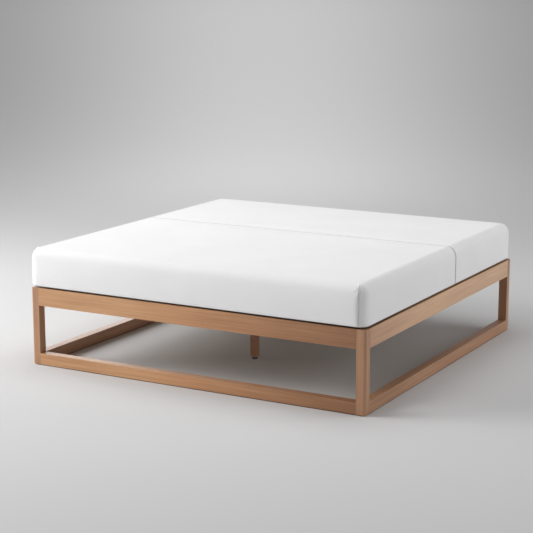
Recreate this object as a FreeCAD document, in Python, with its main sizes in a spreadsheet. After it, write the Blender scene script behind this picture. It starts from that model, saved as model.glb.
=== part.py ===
"""A low square bed frame of solid wood, with its slatted deck, centre support and two-part mattress.

Two glued end frames are joined by four knock-down side rails. The front frame has an upper and a lower
rail between its posts, and the back frame has only an upper one, so the base is open at the back. Ledgers
on the side rails and a beam down the middle carry a roll of slats, and the mattress lies on the slats.

Frame: millimetres, +X to the right, +Y from the front to the back, +Z up. The origin is on the floor,
under the middle of the bed.
"""
import FreeCAD, Part
import os
import re

import Sketcher
from FreeCAD import Placement, Rotation, Vector

# ---------------------------------------------------------------- driving dimensions
DRIVING = [
    ("bed_width", 2000, "across the side rails"),
    ("bed_length", 2000, "from the front rail to the back rail"),
    ("frame_height", 430, "floor to the top of the posts"),
    ("glide_height", 4, "felt under the posts and the lower rails"),
    ("post_size", 50, "square section of the corner posts"),
    ("post_corner", 14, "radius of a post's outer corner"),
    ("arris", 1.5, "radius of the long edges of the sawn parts"),
    ("rail_thickness", 50, "all seven rails"),
    ("upper_rail_height", 98, ""),
    ("lower_rail_height", 62, ""),
    ("tenon_thickness", 20, ""),
    ("upper_tenon_height", 68, ""),
    ("lower_tenon_height", 36, ""),
    ("end_tenon", 20, "length of the glued tenons on the end rails"),
    ("side_tenon", 12, "length of the stub tenons on the side rails"),
    ("mortise_play", 0.2, "room for glue round a tenon"),
    ("stud_diameter", 8, "hanger studs that draw the side rails to the posts"),
    ("stud_bore", 9, "clearance bore for a stud in a side rail"),
    ("stud_grip", 22, "thread of a stud in its post, past the mortise"),
    ("stud_drop", 21, "an upper stud's axis below the middle of its rail"),
    ("pocket_diameter", 26, "round pocket for a half-moon washer and its nut"),
    ("pocket_place", 45, "from a side rail's shoulder to the pocket's axis"),
    ("pocket_past", 8, "the pocket's depth past the stud's axis"),
    ("ledger_width", 30, ""),
    ("ledger_height", 33, ""),
    ("ledger_gap", 2, "between a ledger's ends and the end rails"),
    ("ledger_screws", 9, "per ledger"),
    ("ledger_screw_margin", 90, "from a ledger's end to its first screw"),
    ("deck_height", 434.5, "floor to the top of the slats"),
    ("slat_count", 14, ""),
    ("slat_width", 70, ""),
    ("slat_thickness", 19, ""),
    ("slat_edge", 4, "radius of the slats' long edges"),
    ("slat_side_gap", 4, "between a slat's ends and the side rails"),
    ("slat_end_gap", 30, "between the end rails and the first and last slats"),
    ("webbing_width", 32, "tapes that hold the slats apart"),
    ("webbing_thickness", 1.5, ""),
    ("webbing_spread", 620, "from the middle tape to the outer ones"),
    ("beam_width", 45, ""),
    ("beam_height", 70, ""),
    ("hanger_metal", 2.5, "steel of the beam's hangers"),
    ("hanger_depth", 42, "seat along the beam"),
    ("hanger_height", 52, ""),
    ("hanger_ear", 24, "screwed flange each side of the beam"),
    ("hanger_play", 0.5, "between the beam and the hanger"),
    ("leg_size", 38, "square section of the centre legs"),
    ("leg_spread", 310, "from the middle of the bed to a centre leg"),
    ("leg_clearance", 11, "floor to the wood of a centre leg"),
    ("leg_plate_length", 96, ""),
    ("leg_plate_metal", 3, ""),
    ("leg_plate_screw_place", 36, "from the leg's axis to a plate screw"),
    ("foot_pad_diameter", 32, ""),
    ("foot_pad_height", 6, ""),
    ("foot_collar_height", 2, "hexagon collar of a foot's stud"),
    ("foot_collar_width", 13, "across the flats"),
    ("foot_stud_length", 44, "above the collar"),
    ("foot_bore", 8.16, "threaded insert's bore"),
    ("insert_diameter", 12, ""),
    ("insert_length", 20, ""),
    ("screw_diameter", 4.5, ""),
    ("screw_head", 8.6, "countersunk head"),
    ("mattress_base", 437, "floor to the underside of the mattress"),
    ("mattress_height", 209, ""),
    ("mattress_overhang", 10, "past the frame all round, at the fullest"),
    ("mattress_corner", 50, "corner radius seen from above"),
    ("mattress_crown", 45, "radius of the upper edges"),
    ("mattress_foot", 12, "radius of the lower edges"),
    ("mattress_split", 1137, "from the frame's front to where the sections meet"),
    ("mattress_gap", 1, "between the two sections"),
    ("mattress_wall", 16, "quilted cover and comfort layers round the hollow core space"),
    ("post_pad_diameter", 36, ""),
    ("strip_width", 40, "felt strips under the lower rails"),
    ("strip_margin", 12, "between a strip's ends and the posts"),
]

doc = FreeCAD.newDocument("bed_frame")
sheet = doc.addObject("Spreadsheet::Sheet", "Dimensions")
for row, (alias, number, note) in enumerate(DRIVING, start=1):
    sheet.set(f"A{row}", alias)
    sheet.set(f"B{row}", str(number))
    sheet.setAlias(f"B{row}", alias)
    sheet.set(f"C{row}", note)
doc.recompute()
size = {alias: float(sheet.get(alias)) for alias, _, _ in DRIVING}

# Heights above the floor, as formulas of the sheet.
UPPER_RAIL_AXIS = "(frame_height - upper_rail_height / 2)"
LOWER_RAIL_AXIS = "(glide_height + lower_rail_height / 2)"
DECK_SUPPORT = "(deck_height - slat_thickness)"
BEAM_AXIS = f"({DECK_SUPPORT} - beam_height / 2)"
LEG_TOP = f"({DECK_SUPPORT} - beam_height - leg_plate_metal)"
PARTS = {}


# ---------------------------------------------------------------- helpers
def formula(text):
    """The text with each dimension's name turned into a reference to the sheet."""
    return re.sub(r"[a-z_]+", lambda m: f"Dimensions.{m[0]}" if m[0] in size else m[0], text)


def keep(label, part):
    """Registers a finished sub-part under the name of its node."""
    part.Label = label
    PARTS[label] = part
    return part


def place(part, x="0", y="0", z="0", turn=0):
    """Turns a part about Z and puts its origin at a place worked out from the sheet."""
    part.Placement = Placement(Vector(), Rotation(Vector(0, 0, 1), turn))
    for axis, text in zip("xyz", (x, y, z)):
        part.setExpression(f"Placement.Base.{axis}", formula(text))


def new_body(label):
    return keep(label, doc.addObject("PartDesign::Body", label))


def new_sketch(body, role, across="0", up="0", lift="0"):
    """A sketch on one of the body's own origin planes, moved in the plane and along its normal."""
    sketch = body.newObject("Sketcher::SketchObject", "Profile")
    plane = next(f for f in body.Origin.OriginFeatures if f.Role == role)
    sketch.AttachmentSupport = [(plane, "")]
    sketch.MapMode = "FlatFace"
    for axis, text in zip("xyz", (across, up, lift)):
        sketch.setExpression(f"AttachmentOffset.Base.{axis}", formula(text))
    return sketch


def drive(sketch, constraint, text):
    index = sketch.addConstraint(constraint)
    sketch.setExpression(f"Constraints[{index}]", formula(text))


def rectangle(sketch, width, height):
    """A rectangle centred on the sketch's origin."""
    half = 10
    corners = [Vector(x, y) for x, y in ((-half, -half), (half, -half), (half, half), (-half, half))]
    for i, corner in enumerate(corners):
        sketch.addGeometry(Part.LineSegment(corner, corners[(i + 1) % 4]))
    for i in range(4):
        sketch.addConstraint(Sketcher.Constraint("Coincident", i, 2, (i + 1) % 4, 1))
        sketch.addConstraint(Sketcher.Constraint("Vertical" if i % 2 else "Horizontal", i))
    sketch.addConstraint(Sketcher.Constraint("Symmetric", 0, 1, 2, 1, -1, 1))
    drive(sketch, Sketcher.Constraint("DistanceX", 0, 1, 0, 2, 2 * half), width)
    drive(sketch, Sketcher.Constraint("DistanceY", 1, 1, 1, 2, 2 * half), height)
    return sketch


def circle(sketch, diameter):
    """A circle centred on the sketch's origin."""
    sketch.addGeometry(Part.Circle(Vector(), Vector(0, 0, 1), 5))
    sketch.addConstraint(Sketcher.Constraint("Coincident", 0, 3, -1, 1))
    drive(sketch, Sketcher.Constraint("Diameter", 0, 10), diameter)
    return sketch


def extrude(body, sketch, length, kind="Pad", symmetric=False, reverse=False):
    """Pads or pockets a sketch, and makes sure that the solid's volume grew or shrank."""
    before = body.Tip.Shape.Volume if body.Tip else 0.0
    feature = body.newObject(f"PartDesign::{kind}", kind)
    feature.Profile = sketch
    feature.SideType = "Symmetric" if symmetric else "One side"
    feature.Reversed = reverse
    feature.setExpression("Length", formula(length))
    doc.recompute()
    change = feature.Shape.Volume - before
    if change == 0 or (change > 0) != (kind == "Pad"):
        raise RuntimeError(f"{body.Label}: {kind} changed the volume by {change:.1f} mm3")
    return feature


def pocket(body, sketch, depth, reverse=False):
    return extrude(body, sketch, depth, "Pocket", reverse=reverse)


def soften(body, radius, wanted, kind="Fillet", prop="Radius"):
    """Rounds or chamfers the edges of the body's tip that wanted(edge) picks."""
    tip = body.Tip
    names = [f"Edge{i}" for i, edge in enumerate(tip.Shape.Edges, start=1) if wanted(edge)]
    feature = body.newObject(f"PartDesign::{kind}", kind)
    feature.Base = (tip, names)
    feature.setExpression(prop, formula(radius))
    doc.recompute()
    return feature


def runs_along(edge, axis):
    """True for a straight edge parallel to X, Y or Z."""
    if not isinstance(edge.Curve, Part.Line):
        return False
    return abs(abs(edge.Curve.Direction[axis]) - 1) < 1e-6


def row_of(body, feature, sketch, length, count):
    """Repeats a feature in a straight row along its sketch's horizontal axis."""
    pattern = body.newObject("PartDesign::LinearPattern", "Row")
    pattern.Originals = [feature]
    pattern.Direction = (sketch, ["H_Axis"])
    pattern.setExpression("Length", formula(length))
    pattern.setExpression("Occurrences", formula(count))
    body.Tip = pattern
    doc.recompute()
    return pattern


def board(label, length, width, height, edge="arris"):
    """A sawn board along X, centred on its own origin, with its four long edges eased."""
    body = new_body(label)
    extrude(body, rectangle(new_sketch(body, "YZ_Plane"), width, height), length, symmetric=True)
    soften(body, edge, lambda e: runs_along(e, 0))
    return body


def copies(label, shape, placements):
    """A group of identical solids that share one node."""
    group = doc.addObject("Part::Feature", label)
    group.Shape = Part.makeCompound([shape.transformed(p.toMatrix()) for p in placements])
    return keep(label, group)


# ---------------------------------------------------------------- corner posts
def corner_post(label, hand, x, y, turn, end_rails=("upper", "lower")):
    """A post with a rounded outer corner. Before it is turned, that corner is at the front, on the left
    for hand 1 and on the right for hand -1. The end rails' glued tenons enter the face beside it, and
    the side rails' stub tenons and studs enter the back face."""
    body = new_body(label)
    extrude(body, rectangle(new_sketch(body, "XY_Plane"), "post_size", "post_size"),
            "frame_height - glide_height")
    half = size["post_size"] / 2

    def is_outer(edge):
        middle = edge.CenterOfMass
        return runs_along(edge, 2) and middle.x * hand < -half + 1 and middle.y < -half + 1

    soften(body, "post_corner", is_outer)
    soften(body, "arris", lambda e: runs_along(e, 2) and e.CenterOfMass.y > half - 1
           or runs_along(e, 2) and e.CenterOfMass.x * hand > half - 1)
    top = size["frame_height"] - size["glide_height"]
    soften(body, "arris", lambda e: e.BoundBox.ZMin > top - 0.1 or e.BoundBox.ZMax < 0.1)
    levels = (
        ("upper", f"{UPPER_RAIL_AXIS} - glide_height", "upper_tenon_height", "-stud_drop"),
        ("lower", f"{LOWER_RAIL_AXIS} - glide_height", "lower_tenon_height", "-0"),
    )
    for level, axis, tenon_height, stud_shift in levels:
        if level in end_rails:
            end_face = new_sketch(body, "YZ_Plane", up=axis, lift=f"{hand} * post_size / 2")
            rectangle(end_face, "tenon_thickness + mortise_play", f"{tenon_height} + mortise_play")
            pocket(body, end_face, "end_tenon + mortise_play", reverse=hand < 0)
        back_face = new_sketch(body, "XZ_Plane", up=axis, lift="-post_size / 2")
        rectangle(back_face, "tenon_thickness + mortise_play", f"{tenon_height} + mortise_play")
        pocket(body, back_face, "side_tenon + mortise_play", reverse=True)
        stud_face = new_sketch(body, "XZ_Plane", up=f"{axis} {stud_shift}", lift="-post_size / 2")
        circle(stud_face, "stud_diameter + mortise_play")
        pocket(body, stud_face, "side_tenon + stud_grip + mortise_play", reverse=True)
    place(body, x, y, "glide_height", turn)


LEFT_POST = "-(bed_width - post_size) / 2"
RIGHT_POST = "(bed_width - post_size) / 2"
FRONT_POST = "-(bed_length - post_size) / 2"
BACK_POST = "(bed_length - post_size) / 2"
corner_post("corner_post_front_left", 1, LEFT_POST, FRONT_POST, 0)
corner_post("corner_post_front_right", -1, RIGHT_POST, FRONT_POST, 0)
corner_post("corner_post_back_right", 1, RIGHT_POST, BACK_POST, 180, ("upper",))
corner_post("corner_post_back_left", -1, LEFT_POST, BACK_POST, 180, ("upper",))


# ---------------------------------------------------------------- rails
def rail(label, span, height, tenon_height, tenon_length):
    """A rail along X with a stub tenon at each end."""
    body = board(label, span, "rail_thickness", height)
    tenon = rectangle(new_sketch(body, "YZ_Plane"), "tenon_thickness", tenon_height)
    extrude(body, tenon, f"{span} + 2 * {tenon_length}", symmetric=True)
    return body


END_SPAN = "(bed_width - 2 * post_size)"
SIDE_SPAN = "(bed_length - 2 * post_size)"
LEVELS = {
    "upper": ("upper_rail_height", "upper_tenon_height", UPPER_RAIL_AXIS),
    "lower": ("lower_rail_height", "lower_tenon_height", LOWER_RAIL_AXIS),
}
EAR_PLACE = "(beam_width + 2 * hanger_metal + hanger_ear) / 2"


def end_rail(level, end, y):
    """A rail between two posts of one end. An upper one has pilot holes, in its face towards the bed,
    for the four screws of the beam's hanger."""
    height, tenon_height, axis = LEVELS[level]
    body = rail(f"{level}_rail_{end}", END_SPAN, height, tenon_height, "end_tenon")
    inward = end == "front"
    inner_face = f"{-1 if inward else 1} * rail_thickness / 2"
    ear_middle = f"{BEAM_AXIS} - {UPPER_RAIL_AXIS} - (beam_height - hanger_height) / 2"
    for across, up in ((-1, -1), (1, -1), (-1, 1), (1, 1)) if level == "upper" else ():
        screw_height = f"{ear_middle} + {up} * hanger_height / 4"
        pilot = new_sketch(body, "XZ_Plane", f"{across} * {EAR_PLACE}", screw_height, inner_face)
        circle(pilot, "screw_diameter")
        pocket(body, pilot, "32", reverse=inward)
    place(body, "0", y, axis)


end_rail("upper", "front", FRONT_POST)
end_rail("upper", "back", BACK_POST)
end_rail("lower", "front", FRONT_POST)


def side_rail(level, side, x, turn):
    """A knock-down rail. Its local -Y face is the one towards the bed. A stud from each post enters a
    bore in the end grain and is drawn up from a round pocket: in the face towards the bed on an upper
    rail, and in the underside of a lower one."""
    height, tenon_height, axis = LEVELS[level]
    body = rail(f"{level}_rail_{side}", SIDE_SPAN, height, tenon_height, "side_tenon")
    drop = "-stud_drop" if level == "upper" else "0"
    for end in (-1, 1):
        bore = new_sketch(body, "YZ_Plane", up=drop, lift=f"{end} * ({SIDE_SPAN} / 2 + side_tenon)")
        circle(bore, "stud_bore")
        pocket(body, bore, "side_tenon + pocket_place", reverse=end < 0)
        across = f"{end} * ({SIDE_SPAN} / 2 - pocket_place)"
        if level == "upper":
            mouth = new_sketch(body, "XZ_Plane", across, drop, "rail_thickness / 2")
            circle(mouth, "pocket_diameter")
            pocket(body, mouth, "rail_thickness / 2 + pocket_past")
        else:
            mouth = new_sketch(body, "XY_Plane", across, "0", "-lower_rail_height / 2")
            circle(mouth, "pocket_diameter")
            pocket(body, mouth, "lower_rail_height / 2 + pocket_past", reverse=True)
    if level == "upper":
        first = new_sketch(body, "XZ_Plane", f"-{SIDE_SPAN} / 2 + ledger_gap + ledger_screw_margin",
                           f"{DECK_SUPPORT} - ledger_height / 2 - {UPPER_RAIL_AXIS}",
                           "rail_thickness / 2")
        circle(first, "screw_diameter")
        pilot = pocket(body, first, "32")
        row_of(body, pilot, first, f"{SIDE_SPAN} - 2 * (ledger_gap + ledger_screw_margin)", "ledger_screws")
    place(body, x, "0", axis, turn)


for level in LEVELS:
    side_rail(level, "left", LEFT_POST, 90)
    side_rail(level, "right", RIGHT_POST, -90)


# ---------------------------------------------------------------- knock-down fittings
def fitting_places(turn_for_upper, turn_for_lower):
    """Where the eight studs' pocket centres are, with local +X along the stud towards its post."""
    found = []
    reach = size["bed_length"] / 2 - size["post_size"] - size["pocket_place"]
    across = (size["bed_width"] - size["post_size"]) / 2
    upper = size["frame_height"] - size["upper_rail_height"] / 2 - size["stud_drop"]
    lower = size["glide_height"] + size["lower_rail_height"] / 2
    for side in (-1, 1):
        for end in (-1, 1):
            along = Rotation(Vector(0, 0, 1), 90 * end)
            for z, roll in ((upper, turn_for_upper * side * end), (lower, turn_for_lower)):
                turned = along.multiply(Rotation(Vector(1, 0, 0), roll))
                found.append(Placement(Vector(side * across, end * reach, z), turned))
    return found


def hanger_stud():
    """A threaded stud along X: nut end at -7 mm, wood screw end in the post."""
    nut_end, chamfer = -7.0, 1.0
    length = size["pocket_place"] + size["side_tenon"] + size["stud_grip"] - nut_end
    radius = size["stud_diameter"] / 2
    stud = Part.makeCylinder(radius, length, Vector(nut_end, 0, 0), Vector(1, 0, 0))
    ends = [edge for edge in stud.Edges if isinstance(edge.Curve, Part.Circle)]
    return stud.makeChamfer(chamfer, ends)


def half_moon_washer():
    """A segment of a disc that bears on the round wall of the pocket, with the stud's hole across it."""
    radius = size["pocket_diameter"] / 2 - 0.3
    height, chord = 16.0, 5.0
    disc = Part.makeCylinder(radius, height, Vector(0, 0, -height / 2))
    beyond = Part.makeBox(radius, 2 * radius, height, Vector(chord, -radius, -height / 2))
    hole = Part.makeCylinder(size["stud_bore"] / 2, 2 * radius, Vector(), Vector(1, 0, 0))
    return disc.common(beyond).cut(hole)


def hexagon(across_flats, height, bore, base, direction):
    """A hexagonal nut or collar on an axis."""
    corner_radius = across_flats / 3 ** 0.5
    points = [Rotation(Vector(0, 0, 1), 60 * i).multVec(Vector(corner_radius, 0, 0)) for i in range(7)]
    prism = Part.Face(Part.makePolygon(points)).extrude(Vector(0, 0, height))
    if bore:
        prism = prism.cut(Part.makeCylinder(bore / 2, height))
    prism.Placement = Placement(base, Rotation(Vector(0, 0, 1), direction))
    return prism


NUT_FACE, NUT_HEIGHT, NUT_WIDTH = 5.0, 6.5, 13.0
nut = hexagon(NUT_WIDTH, NUT_HEIGHT, size["stud_diameter"] + 0.2,
              Vector(NUT_FACE - NUT_HEIGHT, 0, 0), Vector(1, 0, 0))
copies("hanger_studs", hanger_stud(), fitting_places(0, 0))
copies("half_moon_washers", half_moon_washer(), fitting_places(90, 0))
copies("stud_nuts", nut, fitting_places(0, 0))


# ---------------------------------------------------------------- screws
def wood_screw(length):
    """A countersunk screw along -Z, its flat head's top at the origin."""
    head, shank = size["screw_head"] / 2, size["screw_diameter"] / 2 - 0.05
    cone, point = 2.2, 5.0
    profile = [Vector(0, 0, 0), Vector(head, 0, 0), Vector(head, 0, -0.4), Vector(shank, 0, -0.4 - cone),
               Vector(shank, 0, point - length), Vector(0, 0, -length), Vector(0, 0, 0)]
    return Part.Face(Part.makePolygon(profile)).revolve(Vector(), Vector(0, 0, 1), 360)


# ---------------------------------------------------------------- ledgers
HEAD_POCKET = "screw_head + 0.4"
for side, x, turn in (("left", "-(bed_width / 2 - rail_thickness - ledger_width / 2)", 90),
                      ("right", "bed_width / 2 - rail_thickness - ledger_width / 2", -90)):
    span = f"({SIDE_SPAN} - 2 * ledger_gap)"
    ledger = board(f"slat_ledger_{side}", span, "ledger_width", "ledger_height")
    first_place = f"-{span} / 2 + ledger_screw_margin"
    for diameter, depth in (("screw_diameter + 0.2", "ledger_width"), (HEAD_POCKET, "3")):
        hole = new_sketch(ledger, "XZ_Plane", first_place, "0", "ledger_width / 2")
        circle(hole, diameter)
        drilled = pocket(ledger, hole, depth)
        row_of(ledger, drilled, hole, f"{span} - 2 * ledger_screw_margin", "ledger_screws")
    place(ledger, x, "0", f"{DECK_SUPPORT} - ledger_height / 2", turn)

LEDGER_SCREW = 58
screw_row = int(size["ledger_screws"])
first = -size["bed_length"] / 2 + size["post_size"] + size["ledger_gap"] + size["ledger_screw_margin"]
step = -2 * first / (screw_row - 1)
inner_face = size["bed_width"] / 2 - size["rail_thickness"] - size["ledger_width"]
ledger_axis = size["deck_height"] - size["slat_thickness"] - size["ledger_height"] / 2
ledger_screw_places = []
for side in (-1, 1):
    for i in range(screw_row):
        head = Vector(side * inner_face, first + step * i, ledger_axis)
        ledger_screw_places.append(Placement(head, Rotation(Vector(0, 1, 0), -90 * side)))
copies("ledger_screws", wood_screw(LEDGER_SCREW), ledger_screw_places)


# ---------------------------------------------------------------- centre beam and its hangers
beam_length = f"({SIDE_SPAN} - 2 * (hanger_metal + hanger_play))"
beam = board("centre_beam", beam_length, "beam_width", "beam_height")
for leg in (-1, 1):
    for end in (-1, 1):
        pilot = new_sketch(beam, "XY_Plane", f"{leg} * leg_spread + {end} * leg_plate_screw_place", "0",
                           "-beam_height / 2")
        circle(pilot, "screw_diameter")
        pocket(beam, pilot, "30", reverse=True)
place(beam, "0", "0", BEAM_AXIS, 90)


def beam_hanger(end, y, turn):
    """A folded steel seat: a U round the beam's end and two ears against the end rail. Its local -Y side
    is the rail, and its origin is on the beam's axis at the rail's face."""
    body = new_body(f"beam_hanger_{end}")
    outer = "(beam_width + 2 * (hanger_metal + hanger_play))"
    seat = "(hanger_height - beam_height) / 2 - hanger_metal - hanger_play"
    plate = new_sketch(body, "XZ_Plane", up=seat)
    rectangle(plate, f"{outer} + 2 * hanger_ear", "hanger_height")
    extrude(body, plate, "hanger_metal", reverse=True)
    block = new_sketch(body, "XZ_Plane", up=seat)
    rectangle(block, outer, "hanger_height")
    extrude(body, block, "hanger_depth", reverse=True)
    hollow = new_sketch(body, "XZ_Plane", lift="-hanger_metal")
    rectangle(hollow, "beam_width + 2 * hanger_play", "beam_height + 2 * hanger_play")
    pocket(body, hollow, "hanger_depth")
    for across in (-1, 1):
        for up in (-1, 1):
            hole = new_sketch(
                body, "XZ_Plane", f"{across} * {EAR_PLACE}",
                f"{up} * hanger_height / 4 - (beam_height - hanger_height) / 2", "-hanger_metal")
            circle(hole, "screw_diameter + 0.4")
            pocket(body, hole, "hanger_metal", reverse=True)
    place(body, "0", y, BEAM_AXIS, turn)


beam_hanger("front", "-(bed_length / 2 - rail_thickness)", 0)
beam_hanger("back", "bed_length / 2 - rail_thickness", 180)

PAN_HEAD, PAN_HEIGHT, HANGER_SCREW = 8.6, 2.4, 30


def pan_screw(length):
    """A pan-headed screw along -Z, its head's flat underside at the origin."""
    shank = size["screw_diameter"] / 2 - 0.05
    head = Part.makeCylinder(PAN_HEAD / 2, PAN_HEIGHT)
    rim = [edge for edge in head.Edges if edge.BoundBox.ZMin > PAN_HEIGHT - 0.01]
    return head.makeFillet(1.0, rim).fuse(Part.makeCylinder(shank, length, Vector(0, 0, -length)))


ear_place = (size["beam_width"] + 2 * size["hanger_metal"] + size["hanger_ear"]) / 2
beam_axis = size["deck_height"] - size["slat_thickness"] - size["beam_height"] / 2
ear_middle = beam_axis - (size["beam_height"] - size["hanger_height"]) / 2
ear_face = size["bed_length"] / 2 - size["rail_thickness"] - size["hanger_metal"]
copies("hanger_screws", pan_screw(HANGER_SCREW), [
    Placement(Vector(across * ear_place, end * ear_face, ear_middle + up * size["hanger_height"] / 4),
              Rotation(Vector(1, 0, 0), 90 * end))
    for end in (-1, 1) for across in (-1, 1) for up in (-1, 1)])


# ---------------------------------------------------------------- centre legs
LEG_HEIGHT = f"({LEG_TOP} - leg_clearance)"
for end, hand in (("front", -1), ("back", 1)):
    y = f"{hand} * leg_spread"
    leg = new_body(f"centre_leg_{end}")
    extrude(leg, rectangle(new_sketch(leg, "XY_Plane"), "leg_size", "leg_size"), LEG_HEIGHT)
    soften(leg, "arris", lambda e: runs_along(e, 2))
    soften(leg, "1", lambda e: e.BoundBox.ZMax < 0.1, "Chamfer", "Size")
    for diameter, depth in (("insert_diameter", "insert_length"), ("foot_bore + 1", "60")):
        pocket(leg, circle(new_sketch(leg, "XY_Plane"), diameter), depth, reverse=True)
    pocket(leg, circle(new_sketch(leg, "XY_Plane", lift=LEG_HEIGHT), "screw_diameter"), "44")
    place(leg, "0", y, "leg_clearance")

    plate = new_body(f"leg_plate_{end}")
    outline = rectangle(new_sketch(plate, "XY_Plane"), "beam_width - 1", "leg_plate_length")
    extrude(plate, outline, "leg_plate_metal")
    soften(plate, "5", lambda e: runs_along(e, 2))
    for along in (-1, 1):
        hole = new_sketch(plate, "XY_Plane", up=f"{along} * leg_plate_screw_place", lift="leg_plate_metal")
        pocket(plate, circle(hole, "screw_diameter + 0.4"), "leg_plate_metal")
    middle = new_sketch(plate, "XY_Plane", lift="leg_plate_metal")
    pocket(plate, circle(middle, HEAD_POCKET), "leg_plate_metal")
    place(plate, "0", y, LEG_TOP)

    insert = new_body(f"foot_insert_{end}")
    extrude(insert, circle(new_sketch(insert, "XY_Plane"), "insert_diameter"), "insert_length")
    pocket(insert, circle(new_sketch(insert, "XY_Plane"), "foot_bore"), "insert_length", reverse=True)
    place(insert, "0", y, "leg_clearance")

LEG_SCREW, PLATE_SCREW = 40, 26
leg_top = size["deck_height"] - size["slat_thickness"] - size["beam_height"] - size["leg_plate_metal"]
copies("leg_top_screws", wood_screw(LEG_SCREW), [
    Placement(Vector(0, hand * size["leg_spread"], leg_top + size["leg_plate_metal"]), Rotation())
    for hand in (-1, 1)])
copies("leg_plate_screws", pan_screw(PLATE_SCREW), [
    Placement(Vector(0, hand * size["leg_spread"] + along * size["leg_plate_screw_place"], leg_top),
              Rotation(Vector(1, 0, 0), 180))
    for hand in (-1, 1) for along in (-1, 1)])


# ---------------------------------------------------------------- levelling feet
SOCKET_DIAMETER, SOCKET_DEPTH, PIN_DIAMETER, FOOT_PLAY = 8.2, 4.0, 7.4, 0.3
for end, hand in (("front", -1), ("back", 1)):
    y = f"{hand} * leg_spread"
    pad = new_body(f"foot_pad_{end}")
    extrude(pad, circle(new_sketch(pad, "XY_Plane"), "foot_pad_diameter"), "foot_pad_height")
    soften(pad, "1.5", lambda e: e.BoundBox.ZMin > size["foot_pad_height"] - 0.1)
    socket = circle(new_sketch(pad, "XY_Plane", lift="foot_pad_height"), str(SOCKET_DIAMETER))
    pocket(pad, socket, str(SOCKET_DEPTH))
    place(pad, "0", y)

    stud = doc.addObject("Part::Feature", f"foot_stud_{end}")
    pin_base = size["foot_pad_height"] - SOCKET_DEPTH + FOOT_PLAY
    collar_base = size["foot_pad_height"] + FOOT_PLAY
    collar_top = collar_base + size["foot_collar_height"]
    pin = Part.makeCylinder(PIN_DIAMETER / 2, collar_base - pin_base, Vector(0, 0, pin_base))
    collar = hexagon(size["foot_collar_width"], size["foot_collar_height"], 0,
                     Vector(0, 0, collar_base), Vector(0, 0, 1))
    thread_radius = size["stud_diameter"] / 2
    thread = Part.makeCylinder(thread_radius, size["foot_stud_length"], Vector(0, 0, collar_top))
    stud.Shape = pin.fuse([collar, thread]).removeSplitter()
    stud.Placement = Placement(Vector(0, hand * size["leg_spread"], 0), Rotation())
    keep(f"foot_stud_{end}", stud)


# ---------------------------------------------------------------- felt on the floor
def felt(diameter):
    return Part.makeCylinder(size[diameter] / 2, size["glide_height"])


post_x = (size["bed_width"] - size["post_size"]) / 2
post_y = (size["bed_length"] - size["post_size"]) / 2
copies("post_pads", felt("post_pad_diameter"), [
    Placement(Vector(x * post_x, y * post_y, 0), Rotation()) for x in (-1, 1) for y in (-1, 1)])
strip_length = size["bed_width"] - 2 * (size["post_size"] + size["strip_margin"])
strip = Part.makeBox(strip_length, size["strip_width"], size["glide_height"],
                     Vector(-strip_length / 2, -size["strip_width"] / 2, 0))
copies("rail_felts", strip, [
    Placement(Vector(0, -post_y, 0), Rotation()),
    Placement(Vector(-post_x, 0, 0), Rotation(Vector(0, 0, 1), 90)),
    Placement(Vector(post_x, 0, 0), Rotation(Vector(0, 0, 1), 90))])


# ---------------------------------------------------------------- slat roll
slat_count = int(size["slat_count"])
FIRST_SLAT = "-(bed_length / 2 - rail_thickness - slat_end_gap - slat_width / 2)"
for number in range(slat_count):
    slat = board(f"slat_{number + 1:02d}", "bed_width - 2 * (rail_thickness + slat_side_gap)",
                 "slat_width", "slat_thickness", "slat_edge")
    share = 1 - 2 * number / (slat_count - 1)
    place(slat, "0", f"{FIRST_SLAT} * {share:.9f}", "deck_height - slat_thickness / 2")
for name, shift in (("left", -1), ("centre", 0), ("right", 1)):
    tape = new_body(f"slat_webbing_{name}")
    strip = rectangle(new_sketch(tape, "XZ_Plane"), "webbing_width", "webbing_thickness")
    extrude(tape, strip, f"{SIDE_SPAN} - 2 * slat_end_gap - slat_edge", symmetric=True)
    soften(tape, "0.5", lambda e: runs_along(e, 1))
    place(tape, f"{shift} * webbing_spread", "0", "deck_height + webbing_thickness / 2")


# ---------------------------------------------------------------- mattress
def mattress_section(label, near, far, outer_end):
    """One section between two distances from the frame's front. It is rounded at its outer corners and
    upper edges, and hollow, so that its cover and comfort layers carry the weight of the whole."""
    width = size["bed_width"] + 2 * size["mattress_overhang"]
    base, height = size["mattress_base"], size["mattress_height"]
    front = -size["bed_length"] / 2
    block = Part.makeBox(width, far - near, height, Vector(-width / 2, front + near, base))
    outer_y = front + (near if outer_end < 0 else far)
    corners = [e for e in block.Edges if runs_along(e, 2) and abs(e.CenterOfMass.y - outer_y) < 1]
    block = block.makeFillet(size["mattress_corner"], corners)
    inner_y = front + (far if outer_end < 0 else near)

    def outer(edge, z):
        return abs(edge.CenterOfMass.z - z) < 1 and abs(edge.CenterOfMass.y - inner_y) > 1

    block = block.makeFillet(size["mattress_crown"], [e for e in block.Edges if outer(e, base + height)])
    block = block.makeFillet(size["mattress_foot"], [e for e in block.Edges if outer(e, base)])
    wall = size["mattress_wall"]
    crown = size["mattress_crown"]
    room = Part.makeBox(width - 2 * (wall + crown), far - near - 2 * wall - crown, height - 2 * wall)
    middle = block.BoundBox.Center
    room.translate(middle - room.BoundBox.Center)
    section = doc.addObject("Part::Feature", label)
    section.Shape = block.cut(room)
    return keep(label, section)


overhang, split, gap = size["mattress_overhang"], size["mattress_split"], size["mattress_gap"]
mattress_section("mattress_front_section", -overhang, split - gap / 2, -1)
mattress_section("mattress_back_section", split + gap / 2, size["bed_length"] + overhang, 1)


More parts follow.
